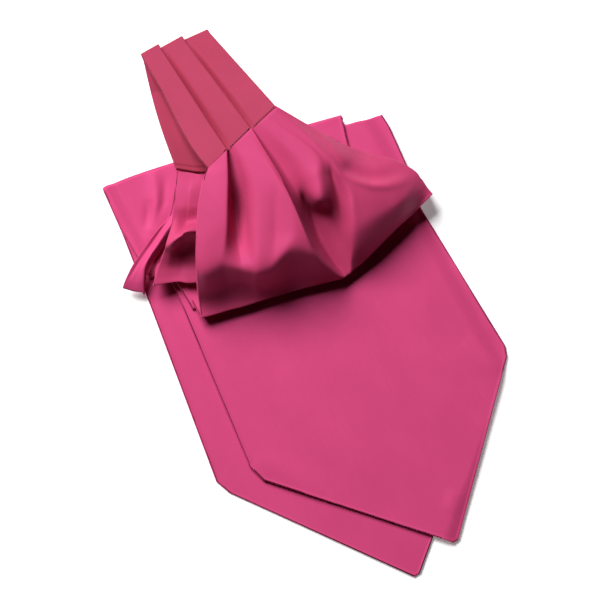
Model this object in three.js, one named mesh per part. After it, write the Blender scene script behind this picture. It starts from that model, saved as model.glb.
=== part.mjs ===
// A pre-pleated silk cravat, folded in two at the middle of its neck band and laid flat.
// Millimetres. +Z is up, +Y runs along the cravat from the blade points to the neck band.
// The cravat is one long strip: blade, fan, neck band, fan, blade. Folded in two, its front
// half lies on its rear half. Each half comes down from the band as a pleated fan, rolls
// under, runs back up beneath as a return, folds at the top and comes down as a flat blade.
import * as THREE from "three";

const WALL = 1.5; // one layer: satin, interlining and satin
const FAN_WALL = 1.4;
const BAND_WALL = 2.6; // the pleated layers of the neck band, pressed together
const GAP = 0.3; // between layers that lie on each other, and at the sewn seams
const LAYER = WALL + GAP;
const TUCK = 12; // how far a fan's rolled end runs back under itself
const CENTRE = { x: 2.4, y: 0.9 }; // middle of the folded cravat on the table

// A table: one object for each row, with its values named by the columns.
const table = (columns, rows) =>
  rows.map((values) => Object.fromEntries(values.map((value, i) => [columns[i], value])));

// Outlines of the two blades. A row is one line across the cloth, from its left edge to its
// right edge, and rows run from the blade's point up to the fold and back down the return.
const OUTLINE = ["at", "left", "right", "rows"];
const REAR_BLADE = table(OUTLINE, [
  ["point", [-14.3, -161.2], [-11.2, -160.9], 7],
  ["below the shoulders", [-81.5, -76.5], [66.5, -90.2], 1],
  ["above the shoulders", [-85, -68], [69, -86], 4],
  ["under the puff", [-73, 40], [67.5, 15], 3],
  ["top, left dip", [-69.3, 79], [66.2, 62], 2],
  ["fold", [-68, 105], [66.7, 84], 0],
]);
const REAR_RETURN = table(OUTLINE, [
  ["fold", [-68, 105], [66.7, 84], 2],
  ["top, left dip", [-69.3, 79], [62.5, 64], 2],
  ["end in the puff", [-67.6, 47], [62, 36], 0],
]);
const FRONT_BLADE = table(OUTLINE, [
  ["point", [12.4, -154.6], [15.2, -154.4], 10],
  ["below the shoulders", [-62.5, -79], [85.2, -78.5], 1],
  ["above the shoulders", [-65.7, -69], [87, -73], 5],
  ["under the puff", [-58, 34], [82, 15], 4],
  ["fold", [-58.5, 97], [87.3, 73], 0],
]);
const FRONT_RETURN = table(OUTLINE, [
  ["fold", [-58.5, 97], [87.3, 73], 1],
  ["right edge", [-58.3, 85], [87.8, 63], 3],
  ["end in the puff", [-57.5, 19], [85, 22], 0],
]);
const REAR_FOLD_BOW = 3.2; // the rear fold bows out this far from a straight line
const BLADE_COLUMNS = { rear: 15, front: 17 };
const EDGE_CROWDING = 0.7; // 0 spaces the columns evenly, 1 crowds them towards the edges
const FOLD_STEPS = 4; // rows round the outside of a fold

// Where the front half reaches past the rear blade it sags to the table.
const SAG = { starts: 5, ends: 14 }; // mm past the rear blade's edge
const RETURN_BRIDGE = 3; // a return stays level this much further than what it lies on
const ROLL_BRIDGE = 4; // and the front fan's rolled end this much further than the return
const RETURN_SAG = { starts: -60.5, ends: -66.5 }; // x, where the rear return leaves the front fold

// The neck band. Its upper leg shows three pleats, each lying over the next one's edge.
// from and to are shares of its width, low and high how far its left and right stand out.
const BAND_PLEATS = table(["name", "from", "to", "low", "high"], [
  ["left", 0, 0.29, 0.5, 2.3],
  ["middle", 0.296, 0.64, 0.3, 1.9],
  ["right", 0.646, 1, -0.1, 0.5],
]);
const BAND_COLUMNS = 5; // across each pleat
const STITCHES = { left: [-14, 80.2], right: [34, 94.3], height: 31.2 };
const BAND_TOP = { left: [-15.5, 159.6], right: [23.8, 155.6], height: 5.8 };
const BAND_FOLD_DEPTH = 3; // how far the band's fold reaches past its top line
const BAND_FOLD_HOLLOW = 0.6; // the same inside the fold
const REAR_LEG_WALL = 2.3;
const BAND_LEG_STEPS = 9;
const REAR_SEAM = [
  [-28, 92.6],
  [-14, 83.6],
  [3, 82.2],
  [24, 88.6],
];
const REAR_SEAM_HEIGHT = 13.4;
const REAR_LEG_LIFT = [0, 0.1, 0.34, 0.62, 0.84, 1]; // share of the seam's height, from the fold down
const REAR_LEG_LEFT_BOW = 1.5;

// The fans, a row for each fold or hollow of the cloth, from left to right. seam is the
// share of the pleat's width where the row starts, upper and middle lie on the way down,
// crest is where the roll begins, turn is its outermost point, and full is how round
// the roll's face is: 1 a quarter round, 0 straight, below 0 hollow.
const FOLDS = ["fold", "seam", "upper", "middle", "crest", "turn", "full", "tuck"];
const FRONT_FAN = {
  left: table(FOLDS, [
    ["outer edge", 0, [-24, 70, 32], [-35, 52, 34], [-47, 30, 32], [-51, 11.5, 9], 0.8],
    ["pleat's flat", 0.5, [-15.5, 70.5, 33.7], [-24, 55.5, 35.4], [-37, 36, 35], [-47, 11.4, 8.6], 0.9],
    ["folded edge", 1, [-6.2, 71, 35], [-13.5, 56, 36.6], [-27, 38, 36], [-41, 10.4, 8.4], 0.9],
  ]),
  middle: table(FOLDS, [
    ["deep valley", 0, [-2.2, 71, 29], [-8.7, 56, 27.5], [-20, 28.5, 31], [-29, 8.5, 8.4], 0.9],
    ["rising side", 0.3, [1.8, 64, 35], [-4, 48, 36.4], [-13, 27, 35], [-15, 6, 8.4], 0.9],
    ["soft dip", 0.62, [9, 60, 36.5], [5.5, 40, 36], [-9.5, 18.5, 32], [-1, 3.6, 8.4], 0.9],
    ["swell", 0.84, [14, 61, 38], [12.3, 40, 38.4], [6.5, 23, 35.6], [13, 1, 8.4], 0.9],
    ["folded edge", 1, [18.3, 65, 37.8], [17.4, 36, 38.2], [17.2, 14, 31], [24.5, -2.2, 8.4], 0.7],
  ]),
  right: table(FOLDS, [
    ["deep valley", 0, [20.8, 69, 28.6], [22.3, 41, 25.6], [24, 15, 19], [27.6, -3, 8.4], 0.2],
    ["valley's side", 0.25, [27, 71, 31.8], [28.8, 48, 30], [28, 22, 23], [30.2, -2.6, 8.4], 0],
    ["ridge", 0.5, [34, 77, 35], [38.4, 58, 36.2], [35, 37, 34], [32.8, -1.6, 8.4], -0.3],
    ["ridge's drop", 0.64, [39, 76.7, 33], [43, 58, 32.6], [40.5, 42, 27.5], [35.4, 0, 8.6], -0.1],
    ["long hollow", 0.74, [41.4, 75.5, 32.6], [46.2, 54, 31], [46, 35, 26.5], [38.8, 2.6, 8.8], 0.2],
    ["swoop, near", 0.84, [43.4, 75.6, 32.4], [49, 50, 31], [55, 34, 28], [48.5, 6, 9], 0.6],
    ["swoop, middle", 0.91, [45.2, 75.4, 30.8], [54, 48.5, 28.5], [65, 30.5, 27], [65, 11, 9.4], 0.7],
    ["swoop, far", 0.96, [46.6, 76, 27.6], [60.5, 51.5, 22.5], [76, 31, 22.5], [78, 13.7, 9.8], 0.7],
    ["outer edge", 1, [48, 76.5, 24], [66, 54.6, 16.5], [87, 33.5, 14.5], [89.7, 16.2, 10.8], 0.5],
  ]),
};
const REAR_FAN = table(FOLDS, [
  ["folded edge", 0, [-37, 77, 15], [-45.3, 64, 16], [-51.5, 57.5, 19], [-67.5, 42, 11.8], 0.15, [6, 8]],
  ["near the edge", 0.09,
    [-32, 76, 14.2], [-38.6, 67, 15], [-46.5, 56.5, 22.5], [-59.7, 39, 11.4], 0.15, [3, 12]],
  ["hollow and ridge", 0.17,
    [-26.4, 74.5, 14.5], [-33, 66, 15], [-41, 56, 27], [-53.5, 36, 10.6], 0.1],
  ["under the front fan", 0.26,
    [-21, 72, 15], [-27.5, 64, 16], [-34.5, 55.5, 28.5], [-46.5, 32, 10.6], 0.2],
  ["hidden, left", 0.5, [-5, 68, 14.6], [-9, 57, 14], [-13, 46, 17], [-21, 24, 10.6], 0.6],
  ["hidden, middle", 0.77, [15, 69, 16.6], [14.5, 55, 18], [12.5, 42, 20], [11, 20, 10.6], 0.7],
  ["hidden, right edge", 1, [35, 72, 15], [46, 58, 14], [57, 44, 12.6], [62, 29, 10.4], 0.6],
]);
// The rear fan's outermost pleat, with the hem, lies under the fan and sticks out at its left.
const HEM_PLEAT = table(["fold", "start", "upper", "middle", "crest", "turn", "full"], [
  ["hem", [-31, 87.4, 9.6],
    [-41, 77, 10.2], [-50, 68.3, 10.8], [-66, 59.6, 10.5], [-83, 48, 6.4], 0.3],
  ["pleat's flat", [-29.6, 87, 9.8],
    [-39.5, 76.2, 10.6], [-48, 66.8, 11.2], [-62.5, 59.5, 11.4], [-77.5, 43.8, 5.8], 0.1],
  ["crease", [-28, 86.4, 10],
    [-38, 75.2, 10.9], [-46, 65.2, 11.4], [-59.5, 59, 12], [-72.5, 39.6, 5], -0.1],
  ["hidden edge", [-25, 85, 9.6],
    [-34.5, 73.5, 9.4], [-42, 63.6, 8.8], [-55.5, 57, 9], [-69.8, 39, 4.6], -0.1],
]);
// The rear fan's end lies on the hem pleat: starts and ends are x.
const ON_HEM = { starts: -54.5, ends: -58, lift: 0.9 };
const FAN_STEPS = { down: 3, face: 2, under: 2 }; // rows between two named points
const ROLL_ROW = 3 * FAN_STEPS.down; // the row of the crest
const SMOOTHED_FROM = ROLL_ROW + 3 * FAN_STEPS.face - 1; // the row before the turn
const ROLL_WALL = 1.1;
const ROLL_SMOOTHING = 3;
const FACE_POINTS = [0.5, 0.85]; // shares of the way from a fan's crest to its turn
const UNDERCUT = [0, 1, 0.8, 0, 0, 0, 0, 0]; // how far a folded edge overhangs, from the seam down
const OVERHANG = 0.5;

const SATIN = { color: 0xc8467c, roughness: 0.42, metalness: 0 };

const mix = THREE.MathUtils.lerp;
const smoothstep = THREE.MathUtils.smoothstep;
const mixPair = (a, b, t) => [mix(a[0], b[0], t), mix(a[1], b[1], t)];

// The points of a smooth curve through the stations, a number of steps to each stretch.
function curvePoints(stations, stepsOf) {
  const curve = new THREE.CatmullRomCurve3(stations, false, "catmullrom", 0.5);
  const stretches = stations.length - 1;
  const points = [];
  for (let i = 0; i < stretches; i++)
    for (let k = 0; k < stepsOf(i); k++)
      points.push(curve.getPoint((i + k / stepsOf(i)) / stretches));
  points.push(stations[stretches].clone());
  return points;
}

// One closed wall between two grids of points with the same rows and columns.
function wallBetween(outer, inner) {
  const rows = outer.length;
  const columns = outer[0].length;
  const positions = [...outer.flat(), ...inner.flat()].flatMap((p) => p.toArray());
  const inside = rows * columns;
  const corner = (row, column) => row * columns + column;
  const triangles = [];
  const quad = (a, b, c, d) => triangles.push(a, b, c, a, c, d);
  for (let r = 0; r + 1 < rows; r++)
    for (let c = 0; c + 1 < columns; c++) {
      const [p, q, s, t] = [corner(r, c), corner(r, c + 1), corner(r + 1, c + 1), corner(r + 1, c)];
      quad(p, q, s, t);
      quad(inside + t, inside + s, inside + q, inside + p);
    }
  const edge = (a, b) => quad(b, a, inside + a, inside + b);
  for (let c = 0; c + 1 < columns; c++) {
    edge(corner(0, c), corner(0, c + 1));
    edge(corner(rows - 1, c + 1), corner(rows - 1, c));
  }
  for (let r = 0; r + 1 < rows; r++) {
    edge(corner(r + 1, 0), corner(r, 0));
    edge(corner(r, columns - 1), corner(r + 1, columns - 1));
  }
  return facingOut(positions, triangles);
}

// The geometry with its faces turned so that they point out of the solid.
function facingOut(positions, triangles) {
  const vertex = (i) => new THREE.Vector3().fromArray(positions, 3 * i);
  let volume = 0;
  for (let i = 0; i < triangles.length; i += 3) {
    const [a, b, c] = [0, 1, 2].map((k) => vertex(triangles[i + k]));
    volume += a.dot(b.cross(c));
  }
  const geometry = new THREE.BufferGeometry();
  geometry.setAttribute("position", new THREE.Float32BufferAttribute(positions, 3));
  geometry.setIndex(volume < 0 ? triangles.reverse() : triangles);
  return geometry;
}

// The inside of a fan: its grid moved in, square to the surface at each point. The sewn end
// is plain inside, and the roll is thinner and smoothed across, so that the wall stays whole.
function offsetGrid(grid, thickness, smoothing) {
  const sewn = Math.min(...grid[0].map((point) => point.z)) - thickness;
  const last = [grid.length - 1, grid[0].length - 1];
  const at = (r, c) => grid[THREE.MathUtils.clamp(r, 0, last[0])][THREE.MathUtils.clamp(c, 0, last[1])];
  const inner = grid.map((line, r) =>
    line.map((point, c) => {
      if (r === 0) return point.clone().setZ(sewn);
      const down = at(r + 1, c).clone().sub(at(r - 1, c));
      const across = at(r, c + 1).clone().sub(at(r, c - 1));
      const wall = r > ROLL_ROW ? ROLL_WALL : thickness;
      return point.clone().addScaledVector(down.cross(across).normalize(), -wall);
    }),
  );
  for (let pass = 0; pass < smoothing; pass++)
    for (let r = SMOOTHED_FROM; r < inner.length; r++) {
      const before = inner[r].map((point) => point.clone());
      for (let c = 1; c + 1 < before.length; c++)
        inner[r][c].lerp(before[c - 1].clone().add(before[c + 1]).multiplyScalar(0.5), 0.5);
    }
  return inner;
}

// Height of the front blade's underside: on the rear blade, or down on the table past it.
function frontBase(x, y) {
  const [low, high] = [REAR_BLADE[2].right, REAR_BLADE[5].right];
  const pastSide = x - mix(low[0], high[0], (y - low[1]) / (high[1] - low[1]));
  const [point, shoulder] = [REAR_BLADE[0].right, REAR_BLADE[1].right];
  const run = Math.hypot(shoulder[0] - point[0], shoulder[1] - point[1]);
  const along = [(shoulder[0] - point[0]) / run, (shoulder[1] - point[1]) / run];
  const pastPoint = (x - point[0]) * along[1] - (y - point[1]) * along[0];
  return LAYER * (1 - smoothstep(Math.max(pastSide, pastPoint), SAG.starts, SAG.ends));
}
const frontReturnBase = (x, y) => frontBase(x - RETURN_BRIDGE, y) + LAYER;
const rearBase = () => 0;
const rearReturnBase = (x) => LAYER + 2 * LAYER * smoothstep(x, RETURN_SAG.ends, RETURN_SAG.starts);

// The lines across a blade or a return, each a left end, a right end and its place in the table.
function linesAcross(outline) {
  const lines = [];
  outline.forEach((row, i) => {
    for (let k = 0; k < row.rows; k++) {
      const t = k / row.rows;
      const next = outline[i + 1];
      lines.push({
        left: mixPair(row.left, next.left, t),
        right: mixPair(row.right, next.right, t),
        near: (i + t) / (outline.length - 1),
      });
    }
  });
  const last = outline[outline.length - 1];
  lines.push({ left: last.left, right: last.right, near: 1 });
  return lines;
}

// A blade with its fold and return, one wall from the blade's point to the return's end.
function foldedPanel({ blade, back, columns, base, backBase }, bow) {
  const outer = [];
  const inner = [];
  const shares = Array.from({ length: columns }, (_, c) => {
    const even = c / (columns - 1);
    return mix(even, 0.5 - 0.5 * Math.cos(Math.PI * even), EDGE_CROWDING);
  });
  const bowed = (y, share, near) => y + bow * near ** 4 * Math.sin(Math.PI * Math.sqrt(share));
  const place = (line, share) => {
    const [x, y] = mixPair(line.left, line.right, share);
    return [x, bowed(y, share, line.near)];
  };
  const foldLine = { ...blade[blade.length - 1], near: 1 };
  const foldRadius = (x, y) => (backBase(x, y) + WALL - base(x, y)) / 2;
  // Near the fold the flat rows stop where its round begins.
  const beforeFold = (x, y, share) => {
    const [foldX, foldY] = place(foldLine, share);
    return Math.min(y, foldY - foldRadius(foldX, foldY));
  };
  for (const line of linesAcross(blade)) {
    const points = shares.map((s) => {
      const [x, y] = place(line, s);
      return [x, beforeFold(x, y, s)];
    });
    outer.push(points.map(([x, y]) => new THREE.Vector3(x, y, base(x, y))));
    inner.push(points.map(([x, y]) => new THREE.Vector3(x, y, base(x, y) + WALL)));
  }
  for (let k = 1; k < FOLD_STEPS; k++) {
    const turn = (Math.PI * k) / FOLD_STEPS;
    const round = (thickness) =>
      shares.map((s) => {
        const [x, y] = place(foldLine, s);
        const radius = foldRadius(x, y);
        const centre = base(x, y) + radius;
        const reach = radius - thickness;
        const out = reach * Math.sin(turn) - radius;
        return new THREE.Vector3(x, y + out, centre - reach * Math.cos(turn));
      });
    outer.push(round(0));
    inner.push(round(WALL));
  }
  for (const line of linesAcross(back)) {
    const near = 1 - line.near;
    const points = shares.map((s) => {
      const [x, y] = mixPair(line.left, line.right, s);
      return [x, beforeFold(x, bowed(y, s, near), s)];
    });
    outer.push(points.map(([x, y]) => new THREE.Vector3(x, y, backBase(x, y) + WALL)));
    inner.push(points.map(([x, y]) => new THREE.Vector3(x, y, backBase(x, y))));
  }
  return wallBetween(outer, inner);
}

// A place on the band's upper leg: share across, lift out of its plain surface, way from
// the stitches (0) to the top (1).
function bandPoint(share, lift, way) {
  const stitched = mixPair(STITCHES.left, STITCHES.right, share);
  const top = mixPair(BAND_TOP.left, BAND_TOP.right, share);
  const [x, y] = mixPair(stitched, top, way);
  return new THREE.Vector3(x, y, mix(STITCHES.height, BAND_TOP.height, way) + lift);
}
const pleatShare = (pleat, part) => mix(pleat.from, pleat.to, part);
const pleatLift = (pleat, part) => mix(pleat.low, pleat.high, part);

// The neck band: upper leg with its pleats, the fold at the top, and the lower leg.
function neckBand() {
  const places = BAND_PLEATS.flatMap((pleat) =>
    Array.from({ length: BAND_COLUMNS }, (_, c) => {
      const part = c / (BAND_COLUMNS - 1);
      return { share: pleatShare(pleat, part), lift: pleatLift(pleat, part) };
    }),
  );
  const plain = places.map((_, c) => c / (places.length - 1));
  const outer = [];
  const inner = [];
  for (let k = 0; k <= BAND_LEG_STEPS; k++) {
    const way = k / BAND_LEG_STEPS;
    outer.push(places.map((p) => bandPoint(p.share, p.lift, way)));
    inner.push(plain.map((share) => bandPoint(share, -BAND_WALL, way)));
  }
  const top = BAND_TOP.height;
  for (let k = 1; k < FOLD_STEPS; k++) {
    const turn = (Math.PI * k) / FOLD_STEPS;
    const upper = (1 + Math.cos(turn)) / 2;
    const round = (share, reach, low, high) => {
      const [x, y] = mixPair(BAND_TOP.left, BAND_TOP.right, share);
      return new THREE.Vector3(x, y + reach * Math.sin(turn), mix(low, high, upper));
    };
    outer.push(places.map((p) => round(p.share, BAND_FOLD_DEPTH + p.lift * upper, 0, top + p.lift)));
    inner.push(plain.map((share) => round(share, BAND_FOLD_HOLLOW, REAR_LEG_WALL, top - BAND_WALL)));
  }
  const seam = curvePoints(REAR_SEAM.map(([x, y]) => new THREE.Vector3(x, y, 0)), () => 8);
  const seamAt = (share) => seam[Math.round(share * (seam.length - 1))];
  const lifts = new THREE.CatmullRomCurve3(REAR_LEG_LIFT.map((lift) => new THREE.Vector3(lift, 0, 0)));
  for (let k = 0; k <= BAND_LEG_STEPS; k++) {
    const way = k / BAND_LEG_STEPS;
    const lift = REAR_SEAM_HEIGHT * lifts.getPoint(way).x;
    const leg = (height) =>
      plain.map((share) => {
        const end = seamAt(share);
        const [x, y] = mixPair(mixPair(BAND_TOP.left, BAND_TOP.right, share), [end.x, end.y], way);
        const bow = REAR_LEG_LEFT_BOW * Math.sin(Math.PI * way) * (1 - share);
        return new THREE.Vector3(x - bow, y, Math.max(0, lift - BAND_WALL) + height);
      });
    outer.push(leg(0));
    inner.push(leg(REAR_LEG_WALL));
  }
  return wallBetween(outer, inner);
}

// The named points of one fold of a fan, from its seam to its turn, and on to the end that
// is tucked under where the fan has one, lying on the floor given.
function foldStations(row, start, floor) {
  const crest = new THREE.Vector3(...row.crest);
  const turn = new THREE.Vector3(...row.turn);
  const face = FACE_POINTS.map((way) => {
    const point = crest.clone().lerp(turn, way);
    const round = Math.sqrt(1 - way * way) - (1 - way);
    point.z += row.full * round * (crest.z - turn.z);
    return point;
  });
  const upper = new THREE.Vector3(...row.upper);
  const middle = new THREE.Vector3(...row.middle);
  const toTurn = [start, upper, middle, crest, ...face, turn];
  if (!floor) return toTurn;
  const [inX, inY] = row.tuck ?? [0, TUCK];
  const end = new THREE.Vector3(turn.x + inX, turn.y + inY, 0);
  end.z = floor(end.x, end.y);
  const under = turn.clone().lerp(end, 0.3);
  under.z = mix(turn.z, end.z, 0.75);
  return [...toTurn, under, end];
}

// A grid over a fan: down its folds, and smoothly across each pleat. Where one pleat ends
// in a folded edge and the next begins, a line of points under the edge makes the overhang.
function fanGrid(pleats, columnSteps) {
  const columns = [];
  pleats.forEach((stationsOfRows, i) => {
    const stretches = stationsOfRows.length - 1;
    const across = stationsOfRows[0].map((_, k) =>
      curvePoints(stationsOfRows.map((stations) => stations[k]), () => columnSteps),
    );
    for (let c = 0; c <= stretches * columnSteps; c++) columns.push(across.map((line) => line[c]));
    if (i + 1 < pleats.length) {
      const edge = stationsOfRows[stretches];
      const valley = pleats[i + 1][0];
      columns.push(
        edge.map((point, k) => {
          const under = point.clone().lerp(valley[k], mix(0.5, 0.1, UNDERCUT[k] ?? 0));
          under.x -= OVERHANG * (UNDERCUT[k] ?? 0);
          under.z = mix(point.z, valley[k].z, 0.5);
          return under;
        }),
      );
    }
  });
  const stepsDown = (i) => (i < 3 ? FAN_STEPS.down : i < 6 ? FAN_STEPS.face : FAN_STEPS.under);
  const down = columns.map((stations) => curvePoints(stations, stepsDown));
  return down[0].map((_, r) => down.map((column) => column[r]));
}
const fanWall = (grid, smoothing) => wallBetween(grid, offsetGrid(grid, FAN_WALL, smoothing));

// The front fan hangs from the band's stitches and its end lies on the front return.
function frontFan() {
  const floor = (x, y) => frontReturnBase(x - ROLL_BRIDGE, y) + LAYER;
  const pleats = BAND_PLEATS.map((pleat) =>
    FRONT_FAN[pleat.name].map((row) => {
      const start = bandPoint(pleatShare(pleat, row.seam), pleatLift(pleat, row.seam), 0);
      start.y -= GAP;
      return foldStations(row, start, floor);
    }),
  );
  return fanWall(fanGrid(pleats, 2), ROLL_SMOOTHING);
}

// The rear fan hangs from the lower leg and its end lies on the rear return.
const onHem = (x) => ON_HEM.lift * smoothstep(-x, -ON_HEM.starts, -ON_HEM.ends);
const rearFloor = (x) => rearReturnBase(x) + LAYER + onHem(x);
function rearFan() {
  const seam = new THREE.CatmullRomCurve3(
    REAR_SEAM.map(([x, y]) => new THREE.Vector3(x, y - 2 * GAP, REAR_SEAM_HEIGHT)),
    false,
    "catmullrom",
    0.5,
  );
  const folds = REAR_FAN.map((row) => foldStations(row, seam.getPoint(row.seam), rearFloor));
  return fanWall(fanGrid([folds], 3), ROLL_SMOOTHING);
}
function hemPleat() {
  const rows = HEM_PLEAT.map((row) => foldStations(row, new THREE.Vector3(...row.start)));
  return fanWall(fanGrid([rows], 2), 0);
}

const FRONT = {
  blade: FRONT_BLADE,
  back: FRONT_RETURN,
  columns: BLADE_COLUMNS.front,
  base: frontBase,
  backBase: frontReturnBase,
};
const REAR = {
  blade: REAR_BLADE,
  back: REAR_RETURN,
  columns: BLADE_COLUMNS.rear,
  base: rearBase,
  backBase: rearReturnBase,
};
const cravat = new THREE.Group();
cravat.position.set(-CENTRE.x, -CENTRE.y, 0);
const pieces = {
  neck_band: neckBand(),
  front_fan: frontFan(),
  front_blade: foldedPanel(FRONT, 0),
  rear_fan: rearFan(),
  rear_hem_pleat: hemPleat(),
  rear_blade: foldedPanel(REAR, REAR_FOLD_BOW),
};
for (const [name, geometry] of Object.entries(pieces)) {
  const mesh = new THREE.Mesh(geometry, new THREE.MeshStandardMaterial(SATIN));
  mesh.name = name;
  cravat.add(mesh);
}

export default cravat;
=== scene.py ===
import bpy
import numpy as np
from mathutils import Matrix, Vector


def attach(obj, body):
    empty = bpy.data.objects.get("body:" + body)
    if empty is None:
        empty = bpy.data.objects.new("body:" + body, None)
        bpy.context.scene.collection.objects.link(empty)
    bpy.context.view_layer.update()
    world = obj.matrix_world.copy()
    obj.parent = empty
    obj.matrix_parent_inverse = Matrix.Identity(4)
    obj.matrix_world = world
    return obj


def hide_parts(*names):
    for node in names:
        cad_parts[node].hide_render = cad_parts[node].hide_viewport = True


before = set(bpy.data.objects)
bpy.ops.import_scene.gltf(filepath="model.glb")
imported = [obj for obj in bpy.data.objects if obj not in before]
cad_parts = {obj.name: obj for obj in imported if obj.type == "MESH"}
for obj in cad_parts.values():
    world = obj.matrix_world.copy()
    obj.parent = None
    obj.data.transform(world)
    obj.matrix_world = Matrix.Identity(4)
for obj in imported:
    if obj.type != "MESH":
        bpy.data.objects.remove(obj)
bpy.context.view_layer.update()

# The table, the light and the camera. The cravat was photographed lying on a white table, from
# almost straight above, with one broad soft lamp past its top left corner. The table is bright
# enough to glow a little, and hardly any light comes from the rest of the room.
MM = 0.001
SENSOR_WIDTH = 36
CAMERA_DISTANCE = 1400 * MM
CAMERA_TARGET = Vector((-2.4, -0.9, 0)) * MM
CAMERA_LOOKS = Vector((0.0947, 0.1851, -0.9781))
PHOTO_RIGHT = Vector((0.8902, -0.4556, 0))
PHOTO_WIDTH = 324.9 * MM
TABLE_SIDE = 6.0
LAMP = {"right": -0.7, "up": 0.88, "height": 1.2, "size": 0.95, "watts": 52.5}
ROOM_LIGHT = 0.01
TABLE_COLOUR = (0.93, 0.93, 0.93, 1)
TABLE_ROUGHNESS = 0.9
TABLE_GLOW = 0.22

photo_up = PHOTO_RIGHT.cross(CAMERA_LOOKS).normalized()
camera = bpy.data.objects.new("camera", bpy.data.cameras.new("camera"))
bpy.context.collection.objects.link(camera)
camera.location = CAMERA_TARGET - CAMERA_DISTANCE * CAMERA_LOOKS
camera.rotation_euler = CAMERA_LOOKS.to_track_quat("-Z", "Y").to_euler()
camera.data.sensor_width = SENSOR_WIDTH
camera.data.lens = SENSOR_WIDTH * CAMERA_DISTANCE / PHOTO_WIDTH
bpy.context.scene.camera = camera
bpy.context.scene.view_settings.view_transform = "Standard"


def hang_lamp(name, place):
    """A square lamp that faces the middle of the table, placed as the photo is seen."""
    light = bpy.data.lights.new(name, "AREA")
    light.size = place["size"]
    light.energy = place["watts"]
    lamp = bpy.data.objects.new(name, light)
    across = Vector((photo_up.x, photo_up.y, 0)).normalized()
    lamp.location = place["right"] * PHOTO_RIGHT + place["up"] * across
    lamp.location.z = place["height"]
    lamp.rotation_euler = (-lamp.location).to_track_quat("-Z", "Y").to_euler()
    bpy.context.collection.objects.link(lamp)


hang_lamp("lamp", LAMP)
world = bpy.data.worlds.new("room")
world.use_nodes = True
world.node_tree.nodes["Background"].inputs["Color"].default_value = (1, 1, 1, 1)
world.node_tree.nodes["Background"].inputs["Strength"].default_value = ROOM_LIGHT
bpy.context.scene.world = world

table_mesh = bpy.data.meshes.new("table")
half = TABLE_SIDE / 2
corners = [(-half, -half, 0), (half, -half, 0), (half, half, 0), (-half, half, 0)]
table_mesh.from_pydata(corners, [], [(0, 1, 2, 3)])
table = bpy.data.objects.new("table", table_mesh)
bpy.context.collection.objects.link(table)
table_white = bpy.data.materials.new("white table")
table_white.use_nodes = True
table_paint = table_white.node_tree.nodes["Principled BSDF"]
table_paint.inputs["Base Color"].default_value = TABLE_COLOUR
table_paint.inputs["Roughness"].default_value = TABLE_ROUGHNESS
table_paint.inputs["Emission Color"].default_value = (1, 1, 1, 1)
table_paint.inputs["Emission Strength"].default_value = TABLE_GLOW
table_mesh.materials.append(table_white)

# The rear blade: satin over interlining, turned in along its edges, from its point up to the
# fold at the top and back down as the return at the top left. It lies on the table. All places
# are in mm, the part's origin is at MIDDLE, and LAYER is the height that a layer of cloth takes.
CLOTH = 1.3
LAYER = 1.8
MIDDLE = np.array([2.4, 0.9, 0.0])
REAR_BLADE = [
    {"at": "point", "left": (-14.3, -161.2), "right": (-11.2, -160.9), "rows": 60},
    {"at": "below the shoulders", "left": (-81.5, -76.5), "right": (66.5, -90.2), "rows": 5},
    {"at": "above the shoulders", "left": (-85, -68), "right": (69, -86), "rows": 60},
    {"at": "under the puff", "left": (-73, 40), "right": (67.5, 15), "rows": 24},
    {"at": "top, left dip", "left": (-69.3, 79), "right": (66.2, 62), "rows": 20},
    {"at": "fold", "left": (-68, 105), "right": (66.7, 84), "rows": 0},
]
REAR_RETURN = [
    {"at": "fold", "left": (-68, 105), "right": (66.7, 84), "rows": 20},
    {"at": "top, left dip", "left": (-69.3, 79), "right": (62.5, 64), "rows": 24},
    {"at": "end in the puff", "left": (-67.6, 47), "right": (62, 36), "rows": 0},
]
REAR_FOLD_BOW = 3.2
BOW_NEAR_FOLD = 4
RETURN_SAG = {"starts": -60.5, "ends": -66.5}
RETURN_CREASES = [
    {"path": [(-39, 100), (-42.6, 88.6), (-48.8, 76.1), (-57, 67)], "width": 3.6, "height": 1.7},
    {"path": [(-47.5, 86), (-51.9, 78.3), (-56.5, 71)], "width": 2.6, "height": -1.1},
    {"path": [(-36, 92), (-42, 81), (-54.9, 68.6)], "width": 1.8, "height": -0.8},
    {"path": [(-68.2, 84), (-68.4, 73), (-67.6, 58)], "width": 1.1, "height": -0.7},
]
CREASE_ENDS = {"least": 0.02, "fade": 0.5}
RETURN_SWELL = {"seed": 3, "size": 34, "height": 0.5}
WAVES = {"count": 7, "shortest": 0.6, "range": 0.8}
HEM = {"height": 0.2, "flat": 1.2, "ends": 2.2}
ACROSS = 110
EDGE_CROWDING = 0.6
FOLD_STEPS = 10
RIM_STEPS = 4
RIM_BULGE = 0.5
RIM_ROUNDNESS = 0.75


def smoothstep(x, low, high):
    """From 0 at low to 1 at high, with soft ends."""
    t = np.clip((np.asarray(x, float) - low) / (high - low), 0, 1)
    return t * t * (3 - 2 * t)


def lines_across(outline):
    """Lines across the cloth: their left ends, their right ends, and how far along each is."""
    left, right, near = [], [], []
    for i, (row, after) in enumerate(zip(outline, outline[1:])):
        for t in np.arange(row["rows"]) / row["rows"]:
            left.append(np.array(row["left"]) * (1 - t) + np.array(after["left"]) * t)
            right.append(np.array(row["right"]) * (1 - t) + np.array(after["right"]) * t)
            near.append((i + t) / (len(outline) - 1))
    left.append(outline[-1]["left"])
    right.append(outline[-1]["right"])
    return np.array(left), np.array(right), np.array(near + [1])


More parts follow.
